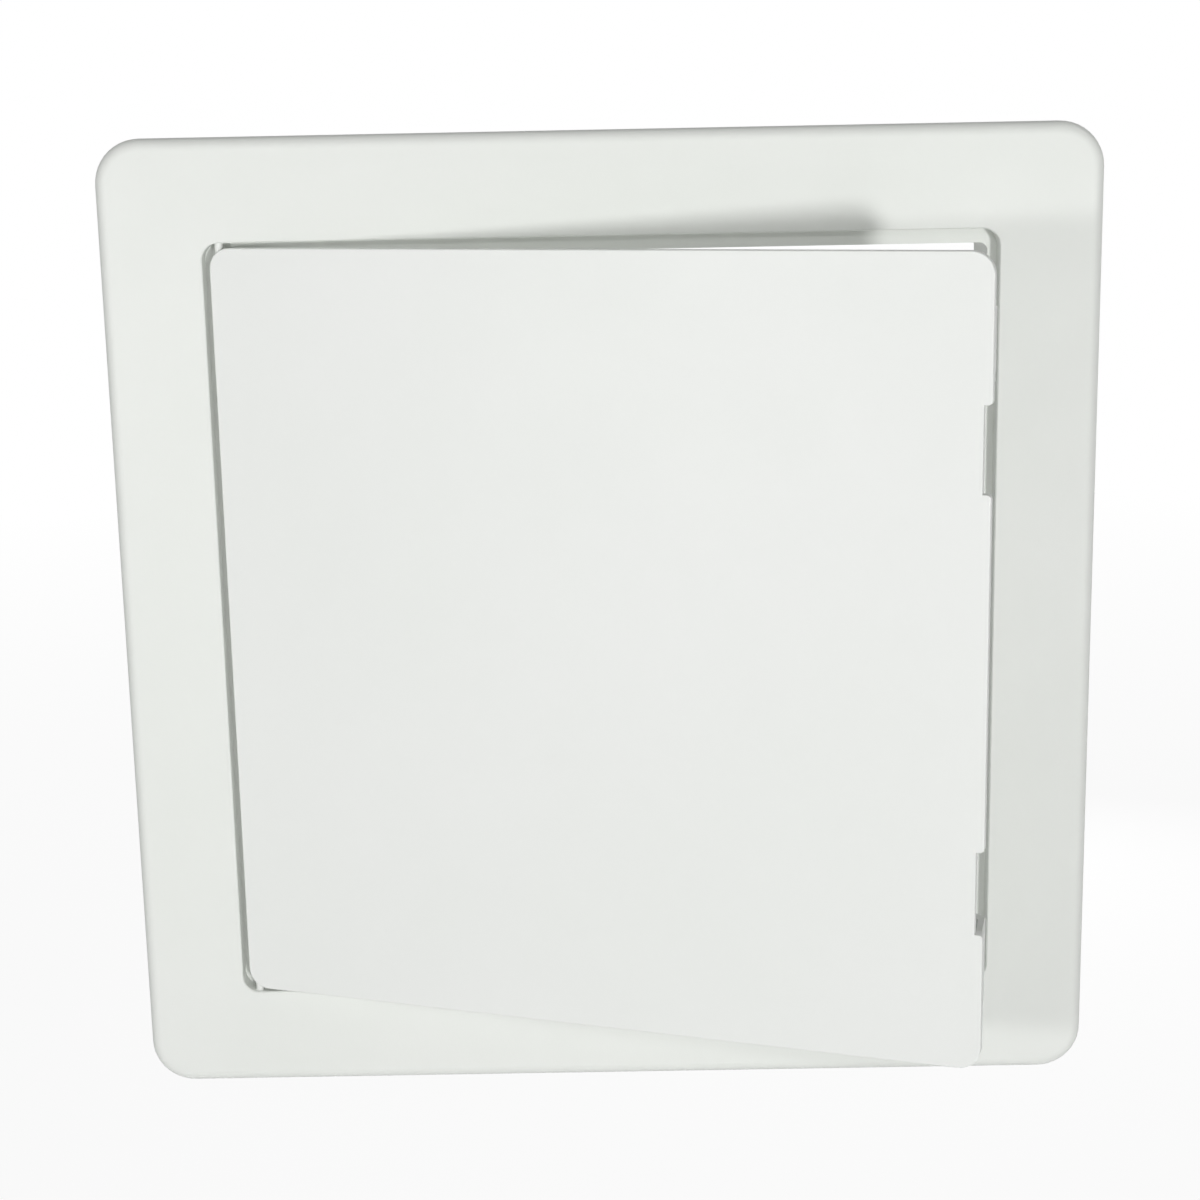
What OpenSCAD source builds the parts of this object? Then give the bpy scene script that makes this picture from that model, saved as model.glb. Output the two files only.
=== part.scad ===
// Flanged access panel with a hinged snap-latch door, standing as on a wall with the door ajar.
// Shapes are drawn lying down: X to the right, Y up the panel, Z out of the face. Each node then stands up.

/* [Frame] */
// Outer width of the frame
frame_w = 254; // [220:1:400]
// Outer height of the frame
frame_h = 254; // [220:1:400]
// Width of the flange, from its outer edge to the door recess
flange_w = 26.2; // [20:0.1:34]
// Height of the flange face above the ceiling board
flange_rise = 4; // [3.6:0.1:5]
// Wall thickness of the flange and of the recess
frame_wall = 2.2; // [1.8:0.1:2.5]
// Corner radius of the flange
flange_corner_r = 11.5; // [8:0.5:16]
// Round along the outer edge of the flange
flange_edge_r = 3; // [2.7:0.1:3.4]
// Corner radius of the door recess
recess_corner_r = 4.4; // [3.2:0.1:4.8]
// Width of the chamfer along the front edge of the recess
recess_chamfer_w = 0.3; // [0.2:0.1:1]
// Depth of that chamfer
recess_chamfer_h = 0.3; // [0.2:0.1:0.8]
// Width of the ledge behind the door, at the hinge and latch sides
ledge_side = 2.3; // [1.8:0.1:2.6]
// Width of the ledge behind the door, at the top and bottom
ledge_end = 3.8; // [2:0.1:4]
// Wall thickness of the ledge and of the neck
neck_wall = 2; // [1.6:0.1:2.4]
// Depth of the neck behind the ceiling face
neck_depth = 23; // [18:1:40]
// Thickness of the stiffening ribs behind the flange
flange_rib_t = 1.2; // [0.8:0.1:2]
// Stiffening ribs behind each side of the flange
flange_ribs_per_side = 5; // [3:1:8]
// Set-back of those ribs from the ceiling face, for the adhesive bed
rib_relief = 0.4; // [0.2:0.1:0.8]

/* [Door] */
// Gap beside the closed door at the hinge side
hinge_gap = 2.2; // [1.4:0.1:2.4]
// Gap beside the closed door at the latch side
latch_gap = 1.1; // [0.7:0.1:1.4]
// Gap above and below the door
end_gap = 1.2; // [0.8:0.1:1.4]
// Gap between the rim of the closed door and the ledge
ledge_gap = 0.3; // [0.2:0.1:0.6]
// Thickness of the door from its face to the back of its rim
door_depth = 5; // [4.6:0.1:6]
// Thickness of the flat skin of the door
door_skin = 2.5; // [2.2:0.1:3]
// Thickness of the rim round the back of the door
rim_t = 2; // [1.6:0.1:2.4]
// Set-back of the rim from the edge of the door
rim_inset = 0.7; // [0.4:0.1:1]
// Corner radius of the door
door_corner_r = 5.5; // [4:0.5:8]
// Round along the front edge of the door
door_edge_r = 0.4; // [0.2:0.1:0.8]
// Thickness of the ribs across the back of the door
door_rib_t = 1.2; // [0.8:0.1:2]
// Ribs across the back of the door in each direction
door_ribs = 3; // [1:1:4]
// Distance between the two finger notches in the latch edge of the door
notch_spread = 108; // [90:1:112]
// Length of the finger notches
notch_len = 21; // [14:1:22]
// Depth of the finger notches
notch_depth = 2; // [1.6:0.1:2.4]
// Round of the notch corners at the edge of the door
notch_corner_r = 1; // [0.5:0.1:2]

/* [Hinge] */
// Angle at which the door stands open
open_angle = 18; // [0:1:90]
// Distance of the hinge axis from the hinge edge of the door
hinge_inset = 2; // [1.8:0.1:2.4]
// Distance of the hinge axis behind the door face
hinge_back = 2; // [1.8:0.1:2.4]
// Diameter of the hinge pins
pin_d = 2.2; // [1.6:0.1:2.6]
// Length of each hinge pin inside the door
pin_seat = 10; // [6:1:16]
// Depth of the hinge sockets in the frame
socket_depth = 4; // [3:0.5:5]
// Radial clearance of a hinge pin in its socket
pin_clear = 0.05; // [0.02:0.01:0.1]
// Wall of the socket bosses on the frame
boss_wall = 1.9; // [1.2:0.1:2.4]

/* [Latch] */
// Distance between the two latches
latch_spread = 154; // [140:1:168]
// Width of a latch finger
latch_w = 16; // [12:1:18]
// Thickness of the latch finger
latch_t = 1.5; // [1.2:0.1:1.8]
// Gap between the tip of a latch finger and the rim of the door
latch_tip_gap = 0.5; // [0.4:0.1:0.8]
// Distance of the latch root behind the door face
latch_depth = 24; // [20:1:30]
// Radius of the round root of a latch
root_r = 1.5; // [1.2:0.1:1.8]
// How far a barb reaches into the neck wall
barb_reach = 0.4; // [0.3:0.1:0.8]
// Height of a barb with its lead-in slope
barb_h = 4.5; // [3.5:0.5:6]
// Height of the strike above a catch window
strike_h = 0.3; // [0.2:0.1:1]
// Play between a barb and its catch window
catch_play = 0.3; // [0.2:0.1:0.6]
// Clearance of the latch past the neck wall as the door swings
swing_clear = 0.3; // [0.2:0.05:0.5]

/* [Hidden] */
$fn = 64;
eps = 0.01;
frame_white = "#E7EAE4";
door_white = "#EEF0EC";
latch_white = "#E3E6E1";

// Levels along Z, from the face back
face_z = flange_rise;
plate_z = face_z - frame_wall;
skin_z = face_z - door_skin;
rim_z = face_z - door_depth;
hinge_z = face_z - hinge_back;
heel_r = norm([hinge_inset, hinge_back]);
ledge_z = min(rim_z, hinge_z - heel_r) - ledge_gap;
ledge_back_z = ledge_z - neck_wall;
root_z = face_z - latch_depth;

// Recess and neck in plan
recess_w = frame_w - 2 * flange_w;
recess_h = frame_h - 2 * flange_w;
neck_w = recess_w - 2 * ledge_side;
neck_h = recess_h - 2 * ledge_end;
neck_corner_r = max(recess_corner_r - ledge_side, 1);
inner_edge_r = max(flange_edge_r - frame_wall, 0.2);
edge_band = flange_corner_r * 0.7;

// Door in plan
door_left = hinge_gap - recess_w / 2;
door_right = recess_w / 2 - latch_gap;
door_w = door_right - door_left;
door_h = recess_h - 2 * end_gap;
door_mid = (door_left + door_right) / 2;
rim_mid = rim_inset + rim_t / 2;

// Hinge
hinge_x = door_left + hinge_inset;
pin_r = pin_d / 2;
pin_fit = 0.02;
pin_tip = 0.4;
pin_inner_y = door_h / 2 - pin_seat;
pin_outer_y = recess_h / 2 + socket_depth;
socket_floor = 1.5;
boss_r = pin_r + pin_clear + boss_wall;
hinge_block_wall = 2;

// Latch: its outer line keeps inside the arc on which the door swings past the neck wall
swing_r = neck_w / 2 - hinge_x - swing_clear;
latch_y = min(latch_spread / 2, (neck_h - latch_w) / 2 - 3);
latch_y0 = latch_y - latch_w / 2;
latch_y1 = latch_y + latch_w / 2;
root_fit = 0.05;
root_x = swing_x(root_z - root_r) - root_r;
leg_top_z = rim_z - latch_tip_gap;
leg_top_x = swing_x(leg_top_z);
root_bite = 0.2;
leg_foot_x = root_x + root_r - root_bite;
window_top_z = ledge_back_z - strike_h;
catch_z = window_top_z - catch_play;
barb_x = neck_w / 2 + barb_reach;
barb_rise = swing_clear + 0.3;
barb_flat = 0.6;
window_end_clear = 1;
post_t = 1.9;
post_gap = 0.25;
post_right = root_x - root_r - post_gap;
post_left = post_right - post_t;
seat_drop = root_r + 1.1;
gusset_t = 1.6;
gusset_run = 9;
gusset_stop = 3;

// X at which the swing arc past the neck wall crosses a level
function swing_x(z) = hinge_x + sqrt(swing_r * swing_r - pow(z - hinge_z, 2));

// X of the outer line of a latch finger at a level
function leg_x(z) = leg_top_x + (leg_foot_x - leg_top_x) * (leg_top_z - z) / (leg_top_z - root_z);

module stand_up() {
  rotate([90, 0, 0]) children();
}

module swing(angle) {
  translate([hinge_x, 0, hinge_z]) rotate([0, -angle, 0]) translate([-hinge_x, 0, -hinge_z]) children();
}

// Draws its child at the top end, or mirrored at the bottom end
module at_end(end) {
  mirror([0, end < 0 ? 1 : 0, 0]) children();
}

// Extrudes a profile drawn in X and Z along Y
module along_y(y0, y1) {
  translate([0, y1, 0]) rotate([90, 0, 0]) linear_extrude(y1 - y0) children();
}

module rounded_rect(w, h, r) {
  square([w - 2 * r, h], center = true);
  square([w, h - 2 * r], center = true);
  for (x = [-1, 1], y = [-1, 1]) translate([x * (w / 2 - r), y * (h / 2 - r)]) circle(r);
}

// Rectangle whose upper right corner is rounded
module shoulder(x0, x1, z0, z1, r) {
  translate([x0, z0]) square([x1 - x0 - r, z1 - z0]);
  translate([x0, z0]) square([x1 - x0, z1 - z0 - r]);
  translate([x1 - r, z1 - r]) circle(r);
}

// Runs a section round a rounded rectangle; its X is measured from the corner centres
module sweep_ring(w, h, r) {
  for (k = [0:3]) {
    reach = k % 2 == 0 ? w : h;
    run = k % 2 == 0 ? h : w;
    rotate([0, 0, 90 * k]) translate([reach / 2 - r, run / 2 - r, 0]) {
      rotate_extrude(angle = 90) children();
      rotate([90, 0, 0]) linear_extrude(run - 2 * r) children();
    }
  }
}

module flange_edge_section() {
  difference() {
    shoulder(flange_corner_r - edge_band, flange_corner_r, 0, face_z, flange_edge_r);
    shoulder(flange_corner_r - edge_band - 1, flange_corner_r - frame_wall, -1, plate_z, inner_edge_r);
  }
}

module recess_wall_section() {
  outer_x = recess_corner_r + frame_wall;
  polygon([
    [recess_corner_r, ledge_back_z],
    [outer_x, ledge_back_z],
    [outer_x, face_z],
    [recess_corner_r + recess_chamfer_w, face_z],
    [recess_corner_r, face_z - recess_chamfer_h]
  ]);
}

module flange_plate() {
  translate([0, 0, plate_z]) linear_extrude(frame_wall) difference() {
    rounded_rect(frame_w - 2 * flange_edge_r, frame_h - 2 * flange_edge_r, flange_corner_r - flange_edge_r);
    rounded_rect(recess_w + frame_wall, recess_h + frame_wall, recess_corner_r + frame_wall / 2);
  }
}

module ledge() {
  translate([0, 0, ledge_back_z]) linear_extrude(neck_wall) difference() {
    rounded_rect(recess_w + frame_wall, recess_h + frame_wall, recess_corner_r + frame_wall / 2);
    rounded_rect(neck_w, neck_h, neck_corner_r);
  }
}

module neck() {
  translate([0, 0, -neck_depth]) linear_extrude(neck_depth + ledge_z - neck_wall / 2) difference() {
    rounded_rect(neck_w + 2 * neck_wall, neck_h + 2 * neck_wall, neck_corner_r + neck_wall);
    rounded_rect(neck_w, neck_h, neck_corner_r);
  }
}

// Ribs from the recess wall to the outer lip, behind each side of the flange
module flange_ribs() {
  for (k = [0:3]) {
    reach = k % 2 == 0 ? frame_w : frame_h;
    run = k % 2 == 0 ? recess_h : recess_w;
    pitch = (run - 2 * recess_corner_r) / flange_ribs_per_side;
    rib_len = flange_w - frame_wall;
    for (i = [0:flange_ribs_per_side - 1]) {
      offset_y = (i - (flange_ribs_per_side - 1) / 2) * pitch;
      rotate([0, 0, 90 * k])
        translate([reach / 2 - flange_w + frame_wall / 2, offset_y - flange_rib_t / 2, rib_relief])
          cube([rib_len, flange_rib_t, plate_z + frame_wall / 2 - rib_relief]);
    }
  }
}

module hinge_boss() {
  along_y(recess_h / 2, pin_outer_y + socket_floor) intersection() {
    translate([hinge_x, hinge_z]) circle(boss_r);
    translate([hinge_x - boss_r, plate_z + frame_wall / 2 - 2 * boss_r]) square(2 * boss_r);
  }
}

module hinge_socket() {
  along_y(door_h / 2 - recess_corner_r, pin_outer_y + pin_tip)
    translate([hinge_x, hinge_z]) circle(pin_r + pin_clear);
}

// Window in the neck wall that a barb springs into
module catch_window() {
  window_len = latch_w + 2 * window_end_clear;
  window_h = barb_h + 2 * catch_play;
  translate([neck_w / 2 - neck_wall / 2, latch_y - window_len / 2, window_top_z - window_h])
    cube([neck_wall * 2, window_len, window_h]);
}

module frame() {
  color(frame_white) stand_up() difference() {
    union() {
      sweep_ring(frame_w, frame_h, flange_corner_r) flange_edge_section();
      flange_plate();
      sweep_ring(recess_w, recess_h, recess_corner_r) recess_wall_section();
      ledge();
      neck();
      flange_ribs();
      for (end = [-1, 1]) at_end(end) hinge_boss();
    }
    for (end = [-1, 1]) at_end(end) {
      hinge_socket();
      catch_window();
    }
  }
}

module door_outline(inset = 0) {
  translate([door_mid, 0]) rounded_rect(door_w - 2 * inset, door_h - 2 * inset, door_corner_r - inset);
}

module door_edge_section() {
  rim_x = door_corner_r - rim_inset - rim_t;
  shoulder(rim_x, door_corner_r, skin_z, face_z, door_edge_r);
  translate([rim_x, rim_z]) square([rim_t, skin_z - rim_z + eps]);
}

module door_shell() {
  translate([door_mid, 0, 0]) sweep_ring(door_w, door_h, door_corner_r) door_edge_section();
  translate([0, 0, skin_z]) linear_extrude(door_skin) door_outline(rim_t / 2);
}

module door_back_ribs() {
  rib_h = skin_z - rim_z + eps;
  for (i = [1:door_ribs]) {
    share = i / (door_ribs + 1) - 0.5;
    translate([door_mid + share * door_w - door_rib_t / 2, rim_mid - door_h / 2, rim_z])
      cube([door_rib_t, door_h - 2 * rim_mid, rib_h]);
    translate([door_left + rim_mid, share * door_h - door_rib_t / 2, rim_z])
      cube([door_w - 2 * rim_mid, door_rib_t, rib_h]);
  }
}

// Solid corner of the door round a hinge pin
module hinge_block() {
  block_w = hinge_inset + pin_r + hinge_block_wall;
  block_len = pin_seat + hinge_block_wall;
  translate([0, 0, rim_z]) linear_extrude(skin_z - rim_z + eps) intersection() {
    door_outline(rim_inset / 2);
    translate([door_left, door_h / 2 - block_len]) square([block_w, block_len]);
  }
}

module pin_bore() {
  along_y(pin_inner_y, door_h / 2 + 1) translate([hinge_x, hinge_z]) circle(pin_r + pin_fit);
}

// Rounds the hinge edge of the door about the hinge axis, so that it clears the ledge as it turns
module heel_cut() {
  along_y(-door_h / 2 - 1, door_h / 2 + 1) difference() {
    translate([door_left - 1, rim_z - 1]) square([hinge_inset + 1, hinge_z - rim_z + 1]);
    translate([hinge_x, hinge_z]) circle(heel_r);
  }
}

module notch() {
  translate([0, notch_spread / 2, rim_z - 1]) linear_extrude(door_depth + 2) {
    translate([door_right - notch_depth, -notch_len / 2]) square([notch_depth + 1, notch_len]);
    for (side = [0, 1]) mirror([0, side]) difference() {
      translate([door_right - notch_corner_r, notch_len / 2 - eps])
        square([notch_corner_r + 1, notch_corner_r + eps]);
      translate([door_right - notch_corner_r, notch_len / 2 + notch_corner_r]) circle(notch_corner_r);
    }
  }
}

// Rim of the door where it runs round a notch
module notch_rim() {
  rim_len = notch_len + 2 * (rim_inset + rim_t);
  translate([door_right - notch_depth - rim_inset - rim_t, (notch_spread - rim_len) / 2, rim_z])
    cube([notch_depth + rim_t / 2, rim_len, skin_z - rim_z + eps]);
}

// Sets that rim back from the edge of the notch
module notch_relief() {
  relief_len = notch_len + 2 * rim_inset;
  translate([door_right - notch_depth - rim_inset, (notch_spread - relief_len) / 2, rim_z - 1])
    cube([notch_depth + rim_inset + 1, relief_len, skin_z - rim_z + 1]);
}

// Post on the back of the door that carries the root of a latch
module latch_post() {
  along_y(latch_y0, latch_y1) difference() {
    union() {
      translate([post_left, root_z - seat_drop]) square([post_t, skin_z + eps - root_z + seat_drop]);
      translate([post_left, root_z - seat_drop]) square([root_x - post_left, seat_drop]);
    }
    translate([root_x, root_z]) circle(root_r + root_fit);
  }
  for (y = [latch_y0, latch_y1 - gusset_t]) along_y(y, y + gusset_t) polygon([
    [post_left + eps, skin_z + eps],
    [post_left - gusset_run, skin_z + eps],
    [post_left + eps, root_z + gusset_stop]
  ]);
}

module door_panel() {
  color(door_white) stand_up() swing(open_angle) {
    difference() {
      union() {
        door_shell();
        door_back_ribs();
        for (end = [-1, 1]) at_end(end) {
          hinge_block();
          notch_rim();
        }
      }
      heel_cut();
      for (end = [-1, 1]) at_end(end) {
        pin_bore();
        notch();
        notch_relief();
      }
    }
    for (end = [-1, 1]) at_end(end) latch_post();
  }
}

module hinge_pin(end) {
  color(door_white) stand_up() swing(open_angle) at_end(end) translate([hinge_x, 0, hinge_z]) {
    along_y(pin_inner_y, pin_outer_y - pin_tip) circle(pin_r);
    translate([0, pin_outer_y - pin_tip, 0]) rotate([-90, 0, 0])
      cylinder(h = pin_tip, r1 = pin_r, r2 = pin_r - pin_tip);
  }
}

// Outline of a latch finger, from its tip past the barb to the root
module latch_finger_section() {
  polygon([
    [leg_top_x, leg_top_z],
    [leg_x(catch_z + barb_rise), catch_z + barb_rise],
    [barb_x, catch_z - barb_reach],
    [barb_x, catch_z - barb_reach - barb_flat],
    [leg_x(catch_z - barb_h), catch_z - barb_h],
    [leg_foot_x, root_z],
    [leg_foot_x - latch_t, root_z],
    [leg_top_x - latch_t, leg_top_z]
  ]);
}

module latch(end) {
  color(latch_white) stand_up() swing(open_angle) at_end(end) {
    along_y(latch_y0, latch_y1) latch_finger_section();
    along_y(latch_y0, latch_y1) translate([root_x, root_z]) circle(root_r);
  }
}

module upper_hinge_pin() {
  hinge_pin(1);
}

module lower_hinge_pin() {
  hinge_pin(-1);
}

module upper_latch() {
  latch(1);
}

module lower_latch() {
  latch(-1);
}

frame();
door_panel();
upper_hinge_pin();
lower_hinge_pin();
upper_latch();
lower_latch();
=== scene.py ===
import math

import bmesh
import bpy
from mathutils import Matrix, Vector


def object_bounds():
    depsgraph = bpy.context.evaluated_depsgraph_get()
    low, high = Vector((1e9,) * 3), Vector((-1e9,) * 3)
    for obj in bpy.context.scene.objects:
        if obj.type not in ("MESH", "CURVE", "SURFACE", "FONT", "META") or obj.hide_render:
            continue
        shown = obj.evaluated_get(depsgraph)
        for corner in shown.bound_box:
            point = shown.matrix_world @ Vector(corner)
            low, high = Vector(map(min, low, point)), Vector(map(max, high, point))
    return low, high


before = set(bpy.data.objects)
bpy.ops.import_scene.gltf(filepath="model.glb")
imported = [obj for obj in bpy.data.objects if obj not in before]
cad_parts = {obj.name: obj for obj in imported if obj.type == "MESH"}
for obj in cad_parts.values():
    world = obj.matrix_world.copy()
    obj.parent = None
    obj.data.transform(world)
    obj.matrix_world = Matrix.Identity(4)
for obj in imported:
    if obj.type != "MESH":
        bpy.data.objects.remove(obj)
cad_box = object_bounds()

# Camera of the photograph, in metres and degrees; the image is square
IMAGE_SIDE = 1200
FOCAL_PIXELS = 2257.6
SENSOR_WIDTH = 36.0
NEAREST_SEEN = 0.01
CAMERA_PLACE = (0.0024, -0.5790, 0.1373)
CAMERA_YAW = -0.42
CAMERA_PITCH = 12.79
CAMERA_ROLL = 1.14

# Stage and light
FLOOR_DROP = 0.22
FLOOR_SIDE = 8.0
FLOOR_GLOW_NEAR = 0.92
FLOOR_GLOW_FAR = 1.0
FLOOR_FADE = (0.8, 2.2)
FLOOR_COLOUR = (0.9, 0.9, 0.9, 1.0)
FLOOR_ROUGHNESS = 0.9
BACKGROUND_STRENGTH = 1.0
AMBIENT_FULL = 0.30
AMBIENT_LEAST = 0.09
AMBIENT_WAY = (-0.5, -0.866, 0.0)
RIGHT_LAMP_PLACE = (0.696, -1.810, -0.115)
RIGHT_LAMP_WATTS = 13.7
RIGHT_LAMP_SIZE = 0.20
LEFT_LAMP_PLACE = (-0.360, -0.620, 0.060)
LEFT_LAMP_WATTS = 1.0
LEFT_LAMP_SIZE = 0.07
UPPER_LAMP_PLACE = (0.004, -1.100, 0.424)
UPPER_LAMP_WATTS = 1.2
UPPER_LAMP_SIZE = 0.08
BACK_LAMP_PLACE = (0.25, 0.95, -0.05)
BACK_LAMP_WATTS = 2.5
BACK_LAMP_SIZE = 0.30
LAMP_AIM = (0.0, -0.02, 0.0)

# Finishes of the plastic, linear colours
WHITE = (1.0, 1.0, 1.0, 1.0)
# Painted shade: the frame's tints are set a little darker than the door's, though both are the
# same plastic, for how the frame is lit
FRAME_TINT_PAINTED_SHADE = (0.800, 0.827, 0.784, 1.0)
FRAME_PALE_TINT_PAINTED_SHADE = (0.838, 0.851, 0.823, 1.0)
# Painted light: the door's tints are set a little paler than the frame's, though both are the
# same plastic, for the light falling on the door
DOOR_TINT_PAINTED_LIGHT = (0.846, 0.870, 0.835, 1.0)
DOOR_PALE_TINT_PAINTED_LIGHT = (0.884, 0.892, 0.876, 1.0)
LATCH_TINT = (0.760, 0.783, 0.745, 1.0)
LATCH_TINT_PALE = (0.800, 0.815, 0.787, 1.0)
PIN_TINT = (0.770, 0.790, 0.755, 1.0)
PIN_TINT_PALE = (0.812, 0.823, 0.800, 1.0)

# Sheen as least and most roughness; grain depth in metres; pattern scales in cells per metre
FRAME_SHEEN = (0.42, 0.56)
DOOR_SHEEN = (0.40, 0.54)
LATCH_SHEEN = (0.36, 0.50)
PIN_SHEEN = (0.30, 0.42)
FRAME_GRAIN_DEPTH = 1.5e-5
DOOR_GRAIN_DEPTH = 1.5e-5
LATCH_GRAIN_DEPTH = 1.0e-5
PIN_GRAIN_DEPTH = 0.6e-5
DRIFT_SCALE = 14.0
DRIFT_DETAIL = 3.0
DRIFT_ROUGHNESS = 0.55
HANDLING_SCALE = 38.0
HANDLING_DETAIL = 5.0
GRAIN_SCALE = 2600.0
GRAIN_DETAIL = 2.0
PLASTIC_IOR = 1.5


def link_object(name, data):
    """A new object in the scene, at the origin."""
    made = bpy.data.objects.new(name, data)
    bpy.context.scene.collection.objects.link(made)
    return made


def aim_camera():
    """The camera at the photograph's place, turned by its yaw, pitch and roll."""
    data = bpy.data.cameras.new("photo_camera")
    data.sensor_width = SENSOR_WIDTH
    data.lens = FOCAL_PIXELS / IMAGE_SIDE * SENSOR_WIDTH
    data.clip_start = NEAREST_SEEN
    camera = link_object("photo_camera", data)
    yaw = Matrix.Rotation(math.radians(-CAMERA_YAW), 4, "Z")
    pitch = Matrix.Rotation(math.radians(90 - CAMERA_PITCH), 4, "X")
    roll = Matrix.Rotation(math.radians(-CAMERA_ROLL), 4, "Z")
    camera.matrix_world = Matrix.Translation(CAMERA_PLACE) @ yaw @ pitch @ roll
    bpy.context.scene.camera = camera


def soft_lamp(name, place, size, watts):
    """A round area lamp aimed at the middle of the panel."""
    data = bpy.data.lights.new(name, "AREA")
    data.shape = "DISK"
    data.size = size
    data.energy = watts
    lamp = link_object(name, data)
    lamp.location = place
    sight = Vector(LAMP_AIM) - Vector(place)
    lamp.rotation_euler = sight.to_track_quat("-Z", "Y").to_euler()
    lamp.visible_camera = False


def plain_look(nodes, links):
    """1 where a surface is seen by the camera or in a reflection, 0 where it only gives light."""
    path = nodes.new("ShaderNodeLightPath")
    glossy = nodes.new("ShaderNodeMath")
    glossy.operation = "MAXIMUM"
    links.new(path.outputs["Is Camera Ray"], glossy.inputs[0])
    links.new(path.outputs["Is Glossy Ray"], glossy.inputs[1])
    seen = nodes.new("ShaderNodeMath")
    seen.operation = "MAXIMUM"
    links.new(glossy.outputs[0], seen.inputs[0])
    links.new(path.outputs["Is Transmission Ray"], seen.inputs[1])
    return seen.outputs[0]


def light_world():
    """Soft light, fullest from the front and left, seen as plain white."""
    world = bpy.data.worlds.new("studio_white")
    world.use_nodes = True
    bpy.context.scene.world = world
    nodes = world.node_tree.nodes
    links = world.node_tree.links
    fill = nodes["Background"]
    fill.inputs["Color"].default_value = WHITE
    way = nodes.new("ShaderNodeTexCoord")
    lean = nodes.new("ShaderNodeVectorMath")
    lean.operation = "DOT_PRODUCT"
    lean.inputs[1].default_value = AMBIENT_WAY
    links.new(way.outputs["Generated"], lean.inputs[0])
    level = nodes.new("ShaderNodeMapRange")
    level.inputs["From Min"].default_value = -1.0
    level.inputs["From Max"].default_value = 1.0
    level.inputs["To Min"].default_value = AMBIENT_LEAST
    level.inputs["To Max"].default_value = AMBIENT_FULL
    links.new(lean.outputs["Value"], level.inputs["Value"])
    links.new(level.outputs["Result"], fill.inputs["Strength"])
    plain = nodes.new("ShaderNodeBackground")
    plain.inputs["Color"].default_value = WHITE
    plain.inputs["Strength"].default_value = BACKGROUND_STRENGTH
    mix = nodes.new("ShaderNodeMixShader")
    links.new(plain_look(nodes, links), mix.inputs["Fac"])
    links.new(fill.outputs[0], mix.inputs[1])
    links.new(plain.outputs[0], mix.inputs[2])
    links.new(mix.outputs[0], nodes["World Output"].inputs["Surface"])


def floor_finish():
    """White floor that still takes a little of the panel's shadow."""
    material = bpy.data.materials.new("pale_floor")
    material.use_nodes = True
    nodes = material.node_tree.nodes
    links = material.node_tree.links
    matte = nodes["Principled BSDF"]
    matte.inputs["Base Color"].default_value = FLOOR_COLOUR
    matte.inputs["Roughness"].default_value = FLOOR_ROUGHNESS
    glow = nodes.new("ShaderNodeEmission")
    glow.inputs["Color"].default_value = WHITE
    place = nodes.new("ShaderNodeTexCoord")
    distance = nodes.new("ShaderNodeVectorMath")
    distance.operation = "LENGTH"
    links.new(place.outputs["Object"], distance.inputs[0])
    fade = nodes.new("ShaderNodeMapRange")
    fade.inputs["From Min"].default_value = FLOOR_FADE[0]
    fade.inputs["From Max"].default_value = FLOOR_FADE[1]
    fade.inputs["To Min"].default_value = FLOOR_GLOW_NEAR
    fade.inputs["To Max"].default_value = FLOOR_GLOW_FAR
    links.new(distance.outputs["Value"], fade.inputs["Value"])
    share = nodes.new("ShaderNodeMath")
    share.operation = "MULTIPLY"
    links.new(plain_look(nodes, links), share.inputs[0])
    links.new(fade.outputs["Result"], share.inputs[1])
    mix = nodes.new("ShaderNodeMixShader")
    links.new(share.outputs[0], mix.inputs["Fac"])
    links.new(matte.outputs[0], mix.inputs[1])
    links.new(glow.outputs[0], mix.inputs[2])
    links.new(mix.outputs[0], nodes["Material Output"].inputs["Surface"])
    return material


def lay_floor():
    """A wide floor some way below the panel, which hangs free as if held in its cut-out."""
    shape = bmesh.new()
    bmesh.ops.create_grid(shape, x_segments=1, y_segments=1, size=FLOOR_SIDE / 2)
    bmesh.ops.translate(shape, verts=shape.verts, vec=(0, 0, cad_box[0].z - FLOOR_DROP))
    mesh = bpy.data.meshes.new("floor")
    shape.to_mesh(mesh)
    shape.free()
    floor = link_object("floor", mesh)
    mesh.materials.append(floor_finish())


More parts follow.
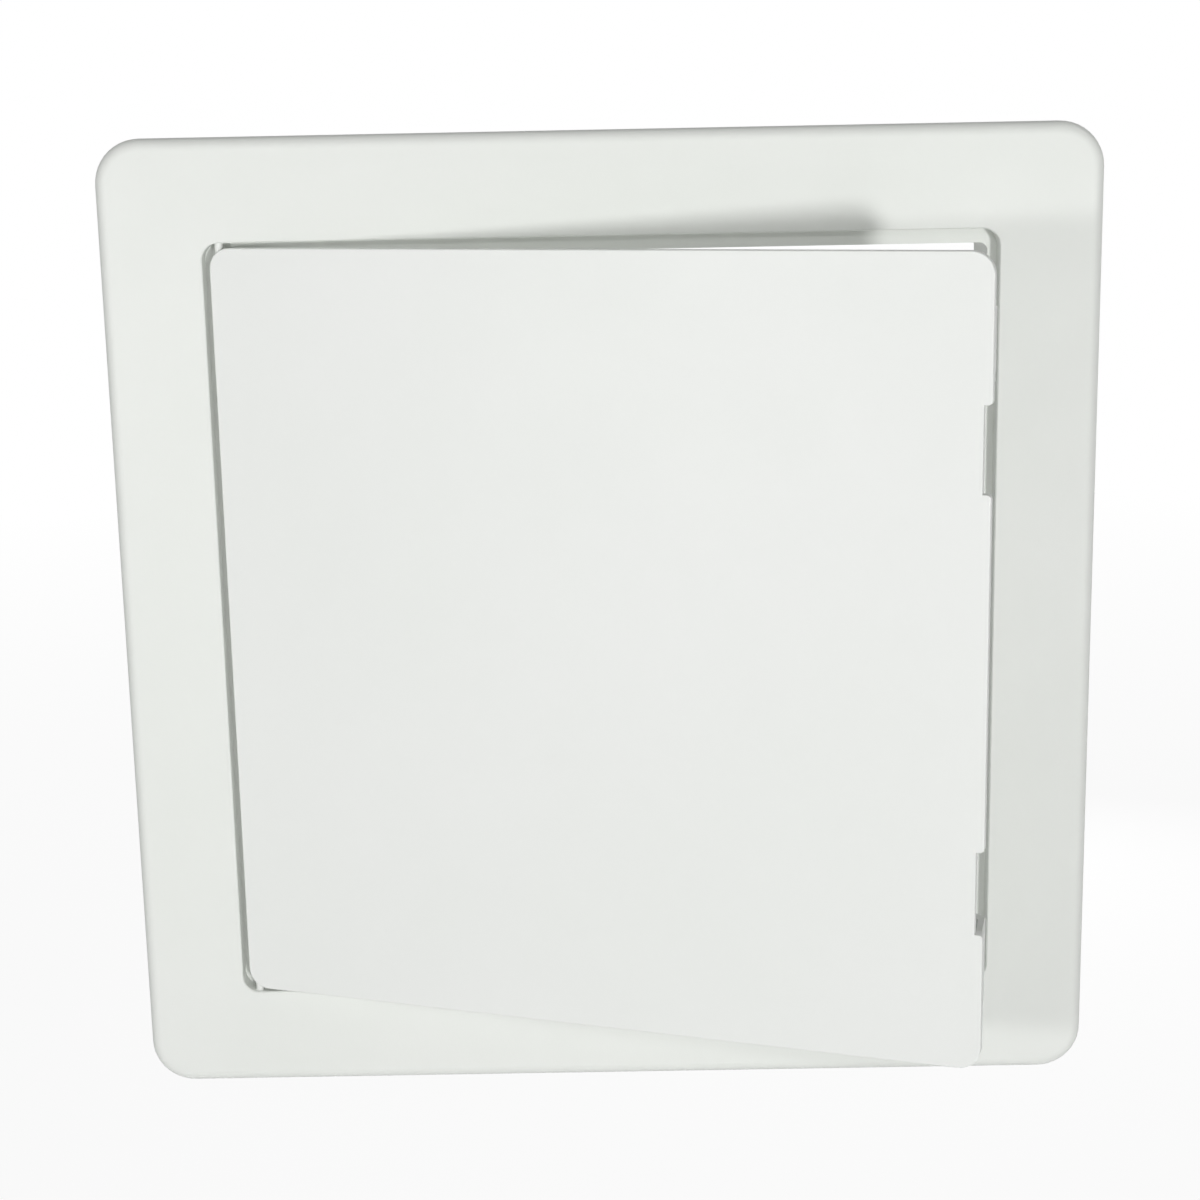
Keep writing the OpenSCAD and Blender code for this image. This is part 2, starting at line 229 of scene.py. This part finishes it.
def moulded_plastic_group():
    """Finish of a moulding: slow drift of tint, fine spark-eroded grain, faint handling sheen."""
    group = bpy.data.node_groups.new("moulded_plastic", "ShaderNodeTree")
    sockets = group.interface
    for name in ("Tint", "Pale Tint"):
        sockets.new_socket(name, in_out="INPUT", socket_type="NodeSocketColor")
    for name in ("Drift Scale", "Grain Scale", "Sheen Low", "Sheen High"):
        sockets.new_socket(name, in_out="INPUT", socket_type="NodeSocketFloat")
    sockets.new_socket("Color", in_out="OUTPUT", socket_type="NodeSocketColor")
    for name in ("Roughness", "Grain"):
        sockets.new_socket(name, in_out="OUTPUT", socket_type="NodeSocketFloat")
    nodes = group.nodes
    links = group.links
    given = nodes.new("NodeGroupInput")
    result = nodes.new("NodeGroupOutput")
    place = nodes.new("ShaderNodeTexCoord")

    drift = nodes.new("ShaderNodeTexNoise")
    drift.inputs["Detail"].default_value = DRIFT_DETAIL
    drift.inputs["Roughness"].default_value = DRIFT_ROUGHNESS
    links.new(place.outputs["Object"], drift.inputs["Vector"])
    links.new(given.outputs["Drift Scale"], drift.inputs["Scale"])
    blend = nodes.new("ShaderNodeMix")
    blend.data_type = "RGBA"
    links.new(drift.outputs["Fac"], blend.inputs["Factor"])
    links.new(given.outputs["Tint"], blend.inputs["A"])
    links.new(given.outputs["Pale Tint"], blend.inputs["B"])
    links.new(blend.outputs["Result"], result.inputs["Color"])

    handling = nodes.new("ShaderNodeTexNoise")
    handling.inputs["Detail"].default_value = HANDLING_DETAIL
    handling.inputs["Scale"].default_value = HANDLING_SCALE
    links.new(place.outputs["Object"], handling.inputs["Vector"])
    sheen = nodes.new("ShaderNodeMapRange")
    links.new(handling.outputs["Fac"], sheen.inputs["Value"])
    links.new(given.outputs["Sheen Low"], sheen.inputs["To Min"])
    links.new(given.outputs["Sheen High"], sheen.inputs["To Max"])
    links.new(sheen.outputs["Result"], result.inputs["Roughness"])

    grain = nodes.new("ShaderNodeTexNoise")
    grain.inputs["Detail"].default_value = GRAIN_DETAIL
    links.new(place.outputs["Object"], grain.inputs["Vector"])
    links.new(given.outputs["Grain Scale"], grain.inputs["Scale"])
    links.new(grain.outputs["Fac"], result.inputs["Grain"])
    return group


def moulded_finish(name, group, tint, pale_tint, sheen, grain_depth):
    """One plastic finish built on the shared moulding effect."""
    material = bpy.data.materials.new(name)
    material.use_nodes = True
    nodes = material.node_tree.nodes
    links = material.node_tree.links
    plastic = nodes["Principled BSDF"]
    plastic.inputs["IOR"].default_value = PLASTIC_IOR
    effect = nodes.new("ShaderNodeGroup")
    effect.node_tree = group
    effect.inputs["Tint"].default_value = tint
    effect.inputs["Pale Tint"].default_value = pale_tint
    effect.inputs["Drift Scale"].default_value = DRIFT_SCALE
    effect.inputs["Grain Scale"].default_value = GRAIN_SCALE
    effect.inputs["Sheen Low"].default_value = sheen[0]
    effect.inputs["Sheen High"].default_value = sheen[1]
    bump = nodes.new("ShaderNodeBump")
    bump.inputs["Strength"].default_value = 1.0
    bump.inputs["Distance"].default_value = grain_depth
    links.new(effect.outputs["Color"], plastic.inputs["Base Color"])
    links.new(effect.outputs["Roughness"], plastic.inputs["Roughness"])
    links.new(effect.outputs["Grain"], bump.inputs["Height"])
    links.new(bump.outputs["Normal"], plastic.inputs["Normal"])
    return material


def dress(node, material):
    """Gives a CAD node its finish."""
    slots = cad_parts[node].data.materials
    if not slots:
        slots.append(material)
    for index in range(len(slots)):
        slots[index] = material


bpy.context.scene.view_settings.view_transform = "Standard"
aim_camera()
light_world()
soft_lamp("right_lamp", RIGHT_LAMP_PLACE, RIGHT_LAMP_SIZE, RIGHT_LAMP_WATTS)
soft_lamp("left_lamp", LEFT_LAMP_PLACE, LEFT_LAMP_SIZE, LEFT_LAMP_WATTS)
soft_lamp("upper_lamp", UPPER_LAMP_PLACE, UPPER_LAMP_SIZE, UPPER_LAMP_WATTS)
soft_lamp("back_lamp", BACK_LAMP_PLACE, BACK_LAMP_SIZE, BACK_LAMP_WATTS)
lay_floor()

plastic_group = moulded_plastic_group()
# The frame's finish carries painted shade in its darker tints
frame_finish_painted_shade = moulded_finish("frame_plastic", plastic_group, FRAME_TINT_PAINTED_SHADE, FRAME_PALE_TINT_PAINTED_SHADE,
                              FRAME_SHEEN, FRAME_GRAIN_DEPTH)
# The door's finish carries painted light in its paler tints
door_finish_painted_light = moulded_finish("door_plastic", plastic_group, DOOR_TINT_PAINTED_LIGHT, DOOR_PALE_TINT_PAINTED_LIGHT,
                             DOOR_SHEEN, DOOR_GRAIN_DEPTH)
latch_finish = moulded_finish("latch_plastic", plastic_group, LATCH_TINT, LATCH_TINT_PALE,
                              LATCH_SHEEN, LATCH_GRAIN_DEPTH)
pin_finish = moulded_finish("pin_plastic", plastic_group, PIN_TINT, PIN_TINT_PALE,
                            PIN_SHEEN, PIN_GRAIN_DEPTH)
dress("frame", frame_finish_painted_shade)
dress("door_panel", door_finish_painted_light)
for end in ("upper", "lower"):
    dress(end + "_latch", latch_finish)
    dress(end + "_hinge_pin", pin_finish)
